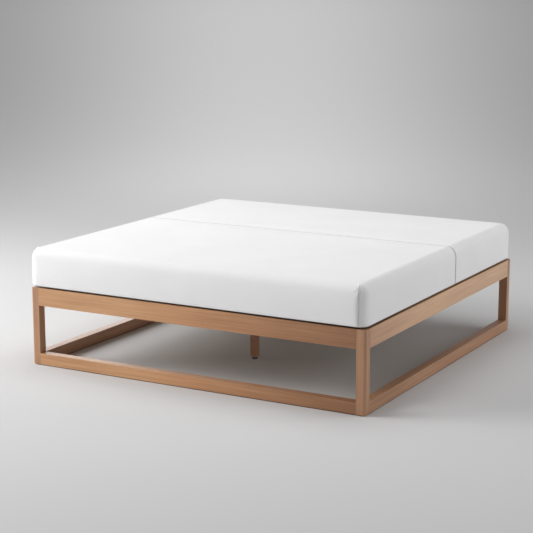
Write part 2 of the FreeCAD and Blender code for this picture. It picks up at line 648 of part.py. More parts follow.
# ---------------------------------------------------------------- checks and files
doc.recompute()
for item in doc.Objects:
    if "Invalid" in item.State or "Error" in item.State:
        raise RuntimeError(f"{item.Name} is {item.State}")
os.makedirs("parts", exist_ok=True)
for label, part in PARTS.items():
    if part.Shape.isNull() or not part.Shape.isValid() or not part.Shape.Solids:
        raise RuntimeError(f"{label} has no valid solid")
    part.Shape.exportStep(f"parts/{label}.step")
print(len(PARTS), "nodes,", sum(len(p.Shape.Solids) for p in PARTS.values()), "solids")
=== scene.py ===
# %% [markdown]
# # A low wooden bed
#
# This lesson dresses a bed frame of solid wood: four posts, seven rails, a slatted deck, and a mattress in
# two sections. The boards, screws and feet come from the designer's model at their true size, so the lesson
# starts by loading them. What is left for Blender is what a designer's solid cannot show: the grain of the
# wood, the soft mattress, its seams, and the light.

# %% Load the boards and keep their box
from math import atan2, cos, pi, radians, sin

import bmesh
import bpy
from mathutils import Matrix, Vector


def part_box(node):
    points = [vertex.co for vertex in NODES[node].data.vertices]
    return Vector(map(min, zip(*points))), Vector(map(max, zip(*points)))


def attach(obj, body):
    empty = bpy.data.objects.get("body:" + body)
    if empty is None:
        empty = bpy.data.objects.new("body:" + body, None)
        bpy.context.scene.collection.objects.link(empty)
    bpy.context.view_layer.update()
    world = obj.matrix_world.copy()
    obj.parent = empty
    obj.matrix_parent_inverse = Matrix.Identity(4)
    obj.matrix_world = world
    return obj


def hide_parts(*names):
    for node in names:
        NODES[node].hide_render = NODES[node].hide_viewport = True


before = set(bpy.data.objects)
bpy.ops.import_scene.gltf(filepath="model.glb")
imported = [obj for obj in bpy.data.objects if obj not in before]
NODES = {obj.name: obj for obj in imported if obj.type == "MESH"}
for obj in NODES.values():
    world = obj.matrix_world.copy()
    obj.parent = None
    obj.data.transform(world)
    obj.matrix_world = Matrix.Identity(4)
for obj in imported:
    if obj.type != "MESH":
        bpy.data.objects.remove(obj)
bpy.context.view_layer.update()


# %% [markdown]
# ## The camera
#
# A camera that stands a little above eye height and well back makes a wide, low thing look calm: its
# upright lines stay nearly upright. A long lens from far away does that better than a short one close by.
# The camera looks along a compass turn (yaw) and a tilt (pitch), so two angles say all of its aim.

# %% Camera
CAMERA_PLACE = (3.9284, -7.2468, 2.1552)
CAMERA_YAW, CAMERA_PITCH = radians(29.06), radians(11.60)
CAMERA_LENS = 100.42


def make_camera(place, yaw, pitch, lens):
    """A camera at place, turned left by yaw from +Y and tipped down by pitch."""
    bpy.ops.object.camera_add(location=place, rotation=(pi / 2 - pitch, 0, yaw))
    camera = bpy.context.object
    camera.name = "studio_camera"
    camera.data.lens = lens
    camera.data.sensor_width = 36
    camera.data.clip_end = 400
    return camera


bpy.context.scene.camera = make_camera(CAMERA_PLACE, CAMERA_YAW, CAMERA_PITCH, CAMERA_LENS)
bpy.context.scene.view_settings.view_transform = "Standard"
print("camera distance to the bed:", round(Vector(CAMERA_PLACE).length, 2), "m")


# %% [markdown]
# ## The floor
#
# A bed is shown on plain ground, so that nothing competes with it. One large plane does that. It is pale,
# so that it throws light back up at the rails, and quite matte, so that no lamp is mirrored in it.

# %% Floor
FLOOR_SIZE = 300.0
bpy.ops.mesh.primitive_plane_add(size=FLOOR_SIZE, location=(0, 0, 0))
floor = bpy.context.object
floor.name = "studio_floor"


def new_material(name):
    """An empty node material, with its Principled shader and its output."""
    material = bpy.data.materials.new(name)
    material.use_nodes = True
    tree = material.node_tree
    return material, tree.nodes, tree.links, tree.nodes["Principled BSDF"]


material, nodes, links, shader = new_material("floor_paint")
shader.inputs["Base Color"].default_value = (0.72, 0.72, 0.72, 1)
shader.inputs["Roughness"].default_value = 0.85
shader.inputs["Specular IOR Level"].default_value = 0.0
floor.data.materials.append(material)
print("floor", FLOOR_SIZE, "m across")


# %% [markdown]
# ## The lights
#
# A large soft light at the left is the window of this room. A low one beside it reaches in under the bed,
# so that the shade deepens from left to right, and two weak ones at the right fill the far side. A soft
# light is a large one: its size, and not its power, decides how blurred a shadow's edge is. A card at the
# back left gives no light at all: it only shows as a gleam on the tops of the lower rails, which are seen
# at a flat angle.

# %% Lights


def soft_light(name, place, aim, width, height, power, colour=(1, 1, 1)):
    """A rectangular light at place, turned to face aim."""
    bpy.ops.object.light_add(type="AREA", location=place)
    light = bpy.context.object
    light.name = name
    light.rotation_euler = (Vector(aim) - Vector(place)).to_track_quat("-Z", "Y").to_euler()
    light.data.shape = "RECTANGLE"
    light.data.size, light.data.size_y = width, height
    light.data.energy = power
    light.data.color = colour
    light.visible_camera = False
    return light


BED_MIDDLE = (-0.2, -0.1, 0.3)
soft_light("window_light", (-7.0, -5.0, 5.0), BED_MIDDLE, 4.0, 4.0, 432)
soft_light("low_window_light", (-5.5, -3.5, 1.6), BED_MIDDLE, 2.0, 2.0, 84)
soft_light("left_light", (-4.5, -1.0, 2.2), BED_MIDDLE, 2.5, 2.5, 68)
soft_light("ceiling_light", (0, 0, 4.5), BED_MIDDLE, 3.0, 3.0, 52)
soft_light("right_fill", (5.5, 2.5, 2.2), BED_MIDDLE, 2.5, 2.5, 66)
soft_light("low_right_fill", (5.0, 0.5, 0.9), BED_MIDDLE, 1.5, 1.5, 17)
back_left_card = soft_light("back_left_card", (-5.6, 5.6, 1.6), BED_MIDDLE, 5.0, 3.0, 150)
back_left_card.visible_diffuse = False


# %% [markdown]
# ## The far panel
#
# Behind the bed the floor runs on for a long way and would grow dark. A lamp for so large a floor would
# light the bed too, so a long glowing wedge is hung over the distance instead. It rises with its distance,
# which keeps the floor under it evenly bright, and it isn't seen itself.

# %% The far panel
PANEL_NEAR, PANEL_FAR, PANEL_RISE, PANEL_SPREAD, PANEL_GLOW = 13, 110, 0.175, 0.080, 1.52


def far_panel():
    """A glowing wedge over the floor behind the bed: it rises and widens away from the camera, so that the
    floor under it looks equally bright all the way."""
    ahead = Vector((-sin(CAMERA_YAW), cos(CAMERA_YAW), 0))
    aside = Vector((cos(CAMERA_YAW), sin(CAMERA_YAW), 0))
    foot = Vector((CAMERA_PLACE[0], CAMERA_PLACE[1], 0))
    bpy.ops.mesh.primitive_plane_add(size=2)
    panel = bpy.context.object
    panel.name = "far_panel"
    for v in panel.data.vertices:
        away = PANEL_NEAR if v.co.y > 0 else PANEL_FAR
        v.co = foot + ahead * away + aside * PANEL_SPREAD * away * v.co.x + Vector((0, 0, PANEL_RISE * away))
    material, nodes, links, shader = new_material("panel_glow")
    shader.inputs["Base Color"].default_value = (0, 0, 0, 1)
    shader.inputs["Emission Color"].default_value = (1, 1, 1, 1)
    shader.inputs["Emission Strength"].default_value = PANEL_GLOW
    panel.data.materials.append(material)
    panel.visible_camera = False
    return panel


print("far panel's normal:", tuple(round(c, 2) for c in far_panel().data.polygons[0].normal))


# %% [markdown]
# ## The air
#
# Light that has bounced about a room comes from everywhere. A plain grey world stands for it, so that the
# deepest shade under the deck is still soft.

# %% The air
world = bpy.data.worlds.new("studio_air")
bpy.context.scene.world = world
world.use_nodes = True
background = world.node_tree.nodes["Background"]
background.inputs["Color"].default_value = (0.272, 0.270, 0.274, 1)
background.inputs["Strength"].default_value = 1.0
print("the air is", world.name)


# %% [markdown]
# ## Oiled wood
#
# Sawn wood shows long fibres that run the length of each board, so a grain that is right for a rail is
# wrong for a post. One recipe therefore makes three materials, and each only turns the pattern to lie
# along X, Y or Z. The pattern is solid, like the wood itself: it is read at the point in space, so the
# end of a board shows the cut ends of the fibres that its side shows lengthwise. Three scales of noise are
# laid over each other: broad bands of colour, fine fibres, and short dark pores. The boards along X are
# painted lighter at the left, towards the window light, and darker at the right, as painted light. The
# right upper rail is smoother and glossier, and it is painted lighter all along, most from its middle to its
# back end, as a painted reflection of the bright floor beside it.

# %% The wood recipe
OIL_IOR, POLISHED_IOR = 1.50, 2.0
EVEN = [(0.0, (1, 1, 1)), (1.0, (1, 1, 1))]
GRAIN_TURN = {"x": (0, 0, 0), "y": (0, 0, -pi / 2), "z": (0, pi / 2, 0)}


def stretched_noise(nodes, links, vector, stretch, scale, detail, roughness=0.5, offset=(0, 0, 0)):
    """Noise drawn out along local X: stretch is the length of its cells over their width."""
    mapping = nodes.new("ShaderNodeMapping")
    mapping.inputs["Scale"].default_value = (scale / stretch, scale, scale)
    mapping.inputs["Location"].default_value = offset
    noise = nodes.new("ShaderNodeTexNoise")
    noise.inputs["Scale"].default_value = 1.0
    noise.inputs["Detail"].default_value = detail
    noise.inputs["Roughness"].default_value = roughness
    links.new(vector, mapping.inputs["Vector"])
    links.new(mapping.outputs["Vector"], noise.inputs["Vector"])
    return noise.outputs["Fac"]


def ramp(nodes, links, value, stops):
    """A colour ramp over a value; stops are (position, colour)."""
    node = nodes.new("ShaderNodeValToRGB")
    while len(node.color_ramp.elements) < len(stops):
        node.color_ramp.elements.new(0.5)
    for element, (position, colour) in zip(node.color_ramp.elements, stops):
        element.position = position
        element.color = (*colour, 1)
    links.new(value, node.inputs["Fac"])
    return node.outputs["Color"]


def mix(nodes, links, kind, factor, a, b):
    """Mixes two colours; factor is a number or a socket."""
    node = nodes.new("ShaderNodeMix")
    node.data_type = "RGBA"
    node.blend_type = kind
    if isinstance(factor, (int, float)):
        node.inputs["Factor"].default_value = factor
    else:
        links.new(factor, node.inputs["Factor"])
    for socket, value in ((node.inputs[6], a), (node.inputs[7], b)):
        if isinstance(value, tuple):
            socket.default_value = (*value, 1)
        else:
            links.new(value, socket)
    return node.outputs[2]


def wood(name, along, dark, light, rough=0.38, pore=0.30, painted_light=EVEN, ior=OIL_IOR):
    """Wood whose fibres run along X, Y or Z. Its last colour ramp paints light and shade on it: the colour is
    made lighter or darker from one end of the bed to the other, as the light falls, with stops of a ramp from
    -1 m to
    +1 m along the fibres."""
    material, nodes, links, shader = new_material(name)
    where = nodes.new("ShaderNodeTexCoord").outputs["Object"]
    turn = nodes.new("ShaderNodeVectorRotate")
    turn.rotation_type = "EULER_XYZ"
    turn.inputs["Rotation"].default_value = GRAIN_TURN[along]
    links.new(where, turn.inputs["Vector"])
    where = turn.outputs["Vector"]
    bands = stretched_noise(nodes, links, where, 40, 80, 3, 0.55)
    fibres = stretched_noise(nodes, links, where, 50, 330, 4, 0.6, (3, 1, 7))
    patches = stretched_noise(nodes, links, where, 3, 5, 2, 0.5, (9, 4, 2))
    pores = stretched_noise(nodes, links, where, 22, 700, 1, 0.5, (1, 8, 5))
    colour = ramp(nodes, links, bands, [(0.30, dark), (0.72, light)])
    shade = ramp(nodes, links, fibres, [(0.25, (0.80, 0.78, 0.76)), (0.75, (1.0, 1.0, 1.0))])
    colour = mix(nodes, links, "MULTIPLY", 0.8, colour, shade)
    warm = ramp(nodes, links, patches, [(0.3, (0.93, 0.90, 0.87)), (0.7, (1.06, 1.06, 1.06))])
    colour = mix(nodes, links, "MULTIPLY", 1.0, colour, warm)
    flecks = ramp(nodes, links, pores, [(0.66, (0, 0, 0)), (0.76, (1, 1, 1))])
    colour = mix(nodes, links, "MIX", mix(nodes, links, "MULTIPLY", 1.0, flecks, (pore,) * 3), colour,
                 tuple(0.45 * c for c in dark))
    place = nodes.new("ShaderNodeSeparateXYZ")
    links.new(where, place.inputs["Vector"])
    share = nodes.new("ShaderNodeMapRange")
    share.inputs["From Min"].default_value, share.inputs["From Max"].default_value = -1.0, 1.0
    links.new(place.outputs["X"], share.inputs["Value"])
    # Painted light and shade: the colour is made lighter or darker along the board, as the light falls.
    colour = mix(nodes, links, "MULTIPLY", 1.0, colour, ramp(nodes, links, share.outputs["Result"], painted_light))
    links.new(colour, shader.inputs["Base Color"])
    gloss = ramp(nodes, links, fibres, [(0.2, (rough + 0.08,) * 3), (0.8, (rough - 0.04,) * 3)])
    links.new(gloss, shader.inputs["Roughness"])
    shader.inputs["IOR"].default_value = ior
    bump = nodes.new("ShaderNodeBump")
    bump.inputs["Strength"].default_value = 0.25
    bump.inputs["Distance"].default_value = 0.0004
    links.new(fibres, bump.inputs["Height"])
    links.new(bump.outputs["Normal"], shader.inputs["Normal"])
    return material


OAK_DARK, OAK_LIGHT = (0.43, 0.225, 0.124), (0.58, 0.330, 0.194)
# Painted light: the boards along X are painted lighter at the left, towards the window light, and darker at
# the right.
PAINTED_LIGHT_FALLOFF = [(0.28, (1.28, 1.30, 1.16)), (0.50, (1.24, 1.18, 1.03)), (1.0, (0.68, 0.61, 0.54))]
# Painted reflection: the right upper rail is painted lighter, most from its middle to its back end, where it
# mirrors the bright floor.
PAINTED_REFLECTION = [(0.0, (1.14, 1.12, 1.04)), (0.45, (1.60, 1.75, 1.66)), (1.0, (1.40, 1.54, 1.52))]
frame_wood = {"x": wood("oiled_wood_x_painted_light", "x", OAK_DARK, OAK_LIGHT, painted_light=PAINTED_LIGHT_FALLOFF),
              "y": wood("oiled_wood_y", "y", OAK_DARK, OAK_LIGHT),
              "z": wood("oiled_wood_z", "z", OAK_DARK, OAK_LIGHT),
              "painted_reflection": wood("painted_reflection_wood_y", "y", OAK_DARK, OAK_LIGHT, 0.30, painted_light=PAINTED_REFLECTION, ior=POLISHED_IOR)}
DECK_DARK, DECK_LIGHT = (0.50, 0.34, 0.20), (0.68, 0.50, 0.33)
deck_wood = {axis: wood(f"planed_wood_{axis}", axis, DECK_DARK, DECK_LIGHT, rough=0.60) for axis in "xy"}
print("wood recipes:", [m.name for m in bpy.data.materials if "wood" in m.name])


# %% [markdown]
# ## Metal, felt, webbing and plastic
#
# The fittings are small, but they are what a person sees who lies on the floor with a spanner. Zinc plating
# is bright with cloudy patches, powder coat has a fine orange-peel skin, felt is a mat of fibres, and
# webbing is a plain weave.

# %% Small finishes


def plain_finish(name, colour, second, scale, roughness, metallic=0.0, bump_depth=0.0002, bump_scale=None):
    """A finish that wavers between two colours, with a fine relief."""
    material, nodes, links, shader = new_material(name)
    where = nodes.new("ShaderNodeTexCoord").outputs["Object"]
    clouds = stretched_noise(nodes, links, where, 1, scale, 3)
    links.new(ramp(nodes, links, clouds, [(0.35, colour), (0.65, second)]), shader.inputs["Base Color"])
    shader.inputs["Metallic"].default_value = metallic
    shader.inputs["Roughness"].default_value = roughness
    relief = stretched_noise(nodes, links, where, 1, bump_scale or scale * 6, 2, offset=(5, 5, 5))
    bump = nodes.new("ShaderNodeBump")
    bump.inputs["Strength"].default_value = 0.4
    bump.inputs["Distance"].default_value = bump_depth
    links.new(relief, bump.inputs["Height"])
    links.new(bump.outputs["Normal"], shader.inputs["Normal"])
    return material


zinc = plain_finish("bright_zinc", (0.62, 0.62, 0.60), (0.74, 0.74, 0.73), 90, 0.32, 1.0)
powder = plain_finish("black_powder_coat", (0.030, 0.030, 0.032), (0.045, 0.045, 0.047), 60, 0.45,
                      bump_depth=0.0003, bump_scale=900)
brass = plain_finish("turned_brass", (0.66, 0.47, 0.20), (0.75, 0.55, 0.26), 120, 0.30, 1.0)
felt = plain_finish("dark_felt", (0.035, 0.027, 0.022), (0.060, 0.048, 0.040), 700, 0.95,
                    bump_depth=0.0010, bump_scale=1500)
foot_plastic = plain_finish("black_foot_plastic", (0.018, 0.018, 0.019), (0.028, 0.028, 0.029), 200, 0.50)
webbing = plain_finish("cotton_webbing", (0.62, 0.58, 0.50), (0.74, 0.71, 0.63), 500, 0.9,
                       bump_depth=0.0006, bump_scale=1800)
print("small finishes made")


# %% [markdown]
# ## Dressing the boards and fittings
#
# Each node's name begins with the kind of piece it is, so a table from beginnings to finishes dresses them
# all. A longer beginning stands before a shorter one that would catch it too. What is left over are the
# screws, studs and nuts, and they are zinc.

# %% Dress the boards and fittings
FINISHES = {
    "corner_post": frame_wood["z"], "centre_leg": frame_wood["z"],
    "upper_rail_front": frame_wood["x"], "upper_rail_back": frame_wood["x"],
    "lower_rail_front": frame_wood["x"],
    # The right upper rail gets the wood with the painted reflection.
    "upper_rail_right": frame_wood["painted_reflection"],
    "upper_rail": frame_wood["y"], "lower_rail": frame_wood["y"],
    "slat_ledger": deck_wood["y"], "centre_beam": deck_wood["y"],
    "slat_webbing": webbing, "slat_": deck_wood["x"],
    "beam_hanger": powder, "leg_plate_screws": zinc, "leg_plate": powder, "foot_insert": brass,
    "foot_pad": foot_plastic, "post_pads": felt, "rail_felts": felt,
}
for name, node in NODES.items():
    finish = next((f for prefix, f in FINISHES.items() if name.startswith(prefix)), zinc)
    node.data.materials.clear()
    node.data.materials.append(finish)
print({name: node.data.materials[0].name for name, node in NODES.items() if "slat_0" not in name})


# %% [markdown]
# ## The mattress cover
#
# The cover is a smooth knit, white and matte. A knit scatters light at its surface, so it gets a little
# sheen, and its loops are finer than a millimetre, so they are only a whisper of relief. The underside is
# painted dark, as painted shade: it shows as a thin dark line along the frame, where shade falls between
# the mattress and the rail. The ends that the two sections turn to each other, and a narrow band round
# them, are painted grey, as painted shade in the crease where the sections meet.

# %% Knit
UNDERSIDE_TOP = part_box("mattress_front_section")[0][2] + 0.0035
# Painted shade: a dark underside, for the shade in the gap between the mattress and the rail.
PAINTED_UNDERSIDE_SHADE = (0.030, 0.021, 0.016)
DIVISION = (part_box("mattress_front_section")[1][1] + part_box("mattress_back_section")[0][1]) / 2
# Painted shade: grey round the place where the two sections meet, for the shade in the crease between them.
SEAM_SHADE_REACH, PAINTED_SEAM_SHADE = 0.0058, (0.60, 0.60, 0.60)


def knit(name):
    """White knit, painted dark on its underside and grey round the place where the two sections meet, both as
    painted shade.
    """
    material, nodes, links, shader = new_material(name)
    where = nodes.new("ShaderNodeTexCoord").outputs["Object"]
    soft = stretched_noise(nodes, links, where, 1, 4, 3)
    white = ramp(nodes, links, soft, [(0.3, (0.91, 0.91, 0.915)), (0.7, (0.94, 0.94, 0.94))])
    place = nodes.new("ShaderNodeSeparateXYZ")
    links.new(where, place.inputs["Vector"])
    under = nodes.new("ShaderNodeMath")
    under.operation = "LESS_THAN"
    under.inputs[1].default_value = UNDERSIDE_TOP
    links.new(place.outputs["Z"], under.inputs[0])
    beside = nodes.new("ShaderNodeMath")
    beside.operation = "COMPARE"
    beside.inputs[1].default_value, beside.inputs[2].default_value = DIVISION, SEAM_SHADE_REACH
    links.new(place.outputs["Y"], beside.inputs[0])
    # Both the grey band and the dark underside are painted shade.
    seam_shaded = mix(nodes, links, "MIX", beside.outputs[0], white, PAINTED_SEAM_SHADE)
    links.new(mix(nodes, links, "MIX", under.outputs[0], seam_shaded, PAINTED_UNDERSIDE_SHADE), shader.inputs["Base Color"])
    shader.inputs["Roughness"].default_value = 0.92
    shader.inputs["Specular IOR Level"].default_value = 0.15
    shader.inputs["Sheen Weight"].default_value = 0.15
    shader.inputs["Sheen Roughness"].default_value = 0.6
    loops = nodes.new("ShaderNodeTexVoronoi")
    loops.inputs["Scale"].default_value = 900
    links.new(where, loops.inputs["Vector"])
    bump = nodes.new("ShaderNodeBump")
    bump.inputs["Strength"].default_value = 0.25
    bump.inputs["Distance"].default_value = 0.0004
    links.new(loops.outputs["Distance"], bump.inputs["Height"])
    links.new(bump.outputs["Normal"], shader.inputs["Normal"])
    return material


cover_knit = knit("white_knit")
print("made", cover_knit.name)


# %% [markdown]
# ## The mattress
#
# The mattress lies level with the frame's sides and is divided across its width into a longer front
# section and a shorter back one. Each section could be modelled by pulling at a ball until it looks soft,
# but a mattress is cut and sewn to exact sizes, so a cube is bevelled to those sizes, and only its panels
# are left to a cloth simulation. The edges to be bevelled are found by where they lie.

# %% Helpers for edit mode


def activate(obj):
    """Selects obj and nothing else."""
    bpy.ops.object.select_all(action="DESELECT")
    bpy.context.view_layer.objects.active = obj
    obj.select_set(True)


def edit(obj):
    """Opens obj for editing with nothing selected."""
    activate(obj)
    bpy.ops.object.mode_set(mode="EDIT")
    bpy.ops.mesh.select_mode(type="EDGE")
    bpy.ops.mesh.select_all(action="DESELECT")


def leave_edit():
    bpy.ops.object.mode_set(mode="OBJECT")


def pick(obj, kind, wanted):
    """Selects the edges or vertices of the open mesh that wanted(element) accepts, and counts them."""
    bpy.ops.mesh.select_all(action="DESELECT")
    bpy.ops.mesh.select_mode(type="EDGE" if kind == "edges" else "VERT")
    mesh = bmesh.from_edit_mesh(obj.data)
    chosen = [element for element in getattr(mesh, kind) if wanted(element)]
    for element in chosen:
        element.select_set(True)
    bmesh.update_edit_mesh(obj.data)
    return len(chosen)


def middle(edge):
    """The middle point of an edge."""
    return (edge.verts[0].co + edge.verts[1].co) / 2


def close(a, b, within=1e-4):
    """True for two measures that are the same but for rounding."""
    return abs(a - b) < within


def level(edge, z):
    """True for an edge that lies at height z."""
    return all(close(v.co.z, z) for v in edge.verts)


HELPERS = activate, edit, leave_edit, pick, middle, close, level
print("helpers ready:", ", ".join(helper.__name__ for helper in HELPERS))


# %% [markdown]
# ## The block of one section
#
# The upright corners are rounded first, then the upper edge, then the lower one, and last the small roll
# at the end where the sections meet. That order lets each bevel run round the corner that the one before
# has made. The upper edge is then pulled down a little, because foam rounds more deeply than it rounds in.

# %% The block of one section
SECTION_CORNER, SECTION_CROWN, SECTION_FOOT, SECTION_ROLL = 0.054, 0.051, 0.012, 0.0060
CROWN_DROP = 0.058
CORNER_STEPS, CROWN_STEPS = 20, 8
SECTION_INSET, SECTION_GAP, SECTION_LEAN = 0.006, 0.0022, 0.007


def section_block(name, node):
    """A bevelled block in the space of a mattress node, a little narrower so that it has room to swell, and
    a few millimetres to the left, as a loose mattress comes to lie.
    It returns the block and its measures: lowest and highest corners, and which end is the outer one."""
    low, high = (Vector(corner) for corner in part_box(node))
    outer = -1 if abs(low.y) > abs(high.y) else 1
    low.x, high.x = low.x + SECTION_INSET - SECTION_LEAN, high.x - SECTION_INSET - SECTION_LEAN
    if outer < 0:
        low.y, high.y = low.y + SECTION_INSET, high.y - SECTION_GAP
    else:
        low.y, high.y = low.y + SECTION_GAP, high.y - SECTION_INSET
    outer_y, inner_y = (low.y, high.y) if outer < 0 else (high.y, low.y)
    centre = (high + low) / 2
    bpy.ops.mesh.primitive_cube_add(size=1, location=centre, scale=high - low)
    block = bpy.context.object
    block.name = name
    bpy.ops.object.transform_apply(location=True, rotation=True, scale=True)
    edit(block)
    pick(block, "edges", lambda e: close(middle(e).z, centre.z) and close(middle(e).y, outer_y))
    bpy.ops.mesh.bevel(offset=SECTION_CORNER, segments=CORNER_STEPS, profile=0.5, affect="EDGES")
    pick(block, "edges", lambda e: level(e, high.z) and not close(middle(e).y, inner_y))
    bpy.ops.mesh.bevel(offset=SECTION_CROWN, segments=CROWN_STEPS, profile=0.5, affect="EDGES")
    pick(block, "verts", lambda v: v.co.z > centre.z)
    bpy.ops.transform.resize(value=(1, 1, CROWN_DROP / SECTION_CROWN), center_override=(0, 0, high.z))
    pick(block, "edges", lambda e: level(e, low.z) and not close(middle(e).y, inner_y))
    bpy.ops.mesh.bevel(offset=SECTION_FOOT, segments=3, profile=0.5, affect="EDGES")
    pick(block, "edges", lambda e: all(close(v.co.y, inner_y) for v in e.verts))
    bpy.ops.mesh.bevel(offset=SECTION_ROLL, segments=4, profile=0.5, affect="EDGES")
    leave_edit()
    return {"block": block, "low": low, "high": high, "outer": outer, "inner_y": inner_y}


# %% [markdown]
# ## A net of even faces
#
# Cloth bends only where its net has edges, and it stretches evenly only if the faces are of one size. The
# block's flat sides are single large faces, so planes are cut through them, closer together near the edges,
# where the cloth bends most. The corners have their own edges from the bevels and are left alone.

# %% A net of even faces
NET, FINE_NET, FINE_REACH = 0.027, 0.009, 0.055
MERGE = 1e-5


def cuts(start, end, fine_start, fine_end):
    """Places for the planes between start and end, closer together near the ends that are asked for."""
    places = {round(start + (end - start) * i / round((end - start) / NET), 5)
              for i in range(round((end - start) / NET) + 1)}
    steps = round(FINE_REACH / FINE_NET)
    fine = {round(start + FINE_NET * i, 5) for i in range(steps)} if fine_start else set()
    fine |= {round(end - FINE_NET * i, 5) for i in range(steps)} if fine_end else set()
    coarse = {p for p in places if all(abs(p - f) > FINE_NET for f in fine)}
    return sorted(fine | coarse | {round(start, 5), round(end, 5)})


def net(section):
    """Cuts planes through the flat parts of the block, so that its faces are small and nearly square."""
    low, high, outer = section["low"], section["high"], section["outer"]
    near_roll = SECTION_ROLL * 2
    y_start = low.y + (SECTION_CORNER if outer < 0 else near_roll)
    y_end = high.y - (near_roll if outer < 0 else SECTION_CORNER)
    planes = [(0, cuts(low.x + SECTION_CORNER, high.x - SECTION_CORNER, True, True)),
              (1, cuts(y_start, y_end, outer < 0, outer > 0)),
              (2, cuts(low.z + SECTION_FOOT, high.z - CROWN_DROP, False, True))]
    edit(section["block"])
    for axis, places in planes:
        for place in places:
            bpy.ops.mesh.select_all(action="SELECT")
            bpy.ops.mesh.bisect(plane_co=[place if i == axis else 0 for i in range(3)],
                                plane_no=[1 if i == axis else 0 for i in range(3)], threshold=MERGE)
    bpy.ops.mesh.select_all(action="SELECT")
    bpy.ops.mesh.remove_doubles(threshold=MERGE)
    bpy.ops.mesh.normals_make_consistent(inside=False)
    leave_edit()


sections = {}
for node in ("mattress_front_section", "mattress_back_section"):
    section = section_block(node.replace("_section", "_cover"), node)
    net(section)
    sections[node] = section
    print(section["block"].name, "net of", len(section["block"].data.polygons), "faces")


# %% [markdown]
# ## The corner seams
#
# The panels of the cover meet in an upright seam at each outer corner. A seam is stitched down, so the
# cloth dips into it and stands proud beside it, and where it ends, on the rounded upper edge, the cloth
# gathers in small puckers. The seam's edge is split in two by a bevel, and its middle is pushed in.

# %% Sew the corners
SEAM_TURN = radians(4 * 90 / CORNER_STEPS)
SEAM_HALF_WIDTH, SEAM_DEPTH = 0.0020, 0.0090
SEAM_TOP_START, SEAM_TOP_FADE = 0.004, 0.020


def seams(section):
    """For each outer corner: the centre of its arc and the level direction from there to its seam."""
    low, high, outer = section["low"], section["high"], section["outer"]
    y = (low.y if outer < 0 else high.y) - outer * SECTION_CORNER
    found = []
    for side in (-1, 1):
        x = (low.x if side < 0 else high.x) - side * SECTION_CORNER
        near_end = side * outer < 0
        turn = SEAM_TURN if near_end else pi / 2 - SEAM_TURN
        found.append((Vector((x, y, 0)), Vector((side * sin(turn), outer * cos(turn), 0))))
    return found


def on_seam(point, centre, direction, within=2e-4):
    """True for a point of the corner that lies in the upright plane of its seam, past the arc's centre."""
    out = Vector((point.x, point.y, 0)) - centre
    along = out.dot(direction)
    return 0.008 < along < SECTION_CORNER + 0.003 and (out - along * direction).length < within


def sew(section):
    """Presses a groove along each corner seam, fading out at its upper end."""
    block, low = section["block"], section["low"]
    foot = low.z + SECTION_FOOT * 0.5
    for centre, direction in seams(section):
        edit(block)
        found = pick(block, "edges", lambda e: all(on_seam(v.co, centre, direction) and v.co.z > foot
                                                   for v in e.verts))
        bpy.ops.mesh.bevel(offset=SEAM_HALF_WIDTH, segments=2, profile=0.5, affect="EDGES")
        mesh = bmesh.from_edit_mesh(block.data)
        mesh.normal_update()
        for v in mesh.verts:
            if on_seam(v.co, centre, direction, 6e-4) and v.co.z > foot:
                along = (Vector((v.co.x, v.co.y, 0)) - centre).dot(direction)
                v.co -= v.normal * SEAM_DEPTH * min(1, (along - SEAM_TOP_START) / SEAM_TOP_FADE)
        bmesh.update_edit_mesh(block.data)
        bpy.ops.mesh.select_all(action="SELECT")
        bpy.ops.mesh.remove_doubles(threshold=MERGE)
        leave_edit()
        print(block.name, "corner seam of", found, "edges")


for section in sections.values():
    sew(section)


# %% [markdown]
# ## Air in the cover
#
# A foam core pushes its cover out between the seams. The cloth simulation does the same with air: gravity
# is off, the underside and the rounded upper edge are held, and twenty frames of pressure round the panels
# between them. The core's foam holds the cover back, so a point moves straight out of the core and no
# further than a few millimetres: most in the middle of the top and of a side, less at the edges and beside
# a seam. The solver gives up without a word on a net with edges of no length, so the seams merge theirs.

# %% Swell
PRESSURE, SWELL_FRAMES = 4.0, 20
EDGE_SWELL, SIDE_SWELL, TOP_SWELL = 0.001, 0.007, 0.005
SIDE_REACH, TOP_REACH, SEAM_REACH, SEAM_SHARE = 0.74, 0.40, 0.030, 0.8
FLAT, ROLL_REACH = 0.0005, SECTION_ROLL * 1.2


def smooth_step(share):
    """An even rise from 0 to 1 that starts and ends level."""
    share = min(1, max(0, share))
    return share * share * (3 - 2 * share)


def room_to_move(section, point):
    """How far the core lets a point of the cover move."""
    low, high, outer = section["low"], section["high"], section["outer"]
    if point.z > high.z - FLAT:
        end = abs((low.y if outer < 0 else high.y) - point.y)
        edge = min(high.x - point.x, point.x - low.x, end) - SECTION_CROWN
        room = EDGE_SWELL + (TOP_SWELL - EDGE_SWELL) * smooth_step(edge / TOP_REACH)
    else:
        rise = (point.z - low.z) / (high.z - low.z)
        room = EDGE_SWELL + (SIDE_SWELL - EDGE_SWELL) * sin(pi * min(1, rise / SIDE_REACH))
    flat = Vector((point.x, point.y, 0))
    for centre, direction in seams(section):
        away = (flat - centre - direction * SECTION_CORNER).length
        room *= SEAM_SHARE + (1 - SEAM_SHARE) * smooth_step(away / SEAM_REACH)
    return room


def way_out(section, point):
    """The direction out of the core at a point: level at the sides and upwards on the top."""
    low, high, outer = section["low"], section["high"], section["outer"]
    start, end = (low.y + SECTION_CORNER, high.y) if outer < 0 else (low.y, high.y - SECTION_CORNER)
    core = Vector((min(max(point.x, low.x + SECTION_CORNER), high.x - SECTION_CORNER),
                   min(max(point.y, start), end), min(point.z, high.z - CROWN_DROP)))
    return (point - core).normalized()


def is_held(section, point):
    """True at the underside and on the rounded upper edge, where the cover is stitched to its core."""
    rise, drop = point.z - section["low"].z, section["high"].z - point.z
    return rise < SECTION_FOOT or (FLAT < drop < CROWN_DROP
                                   and abs(point.y - section["inner_y"]) > ROLL_REACH)


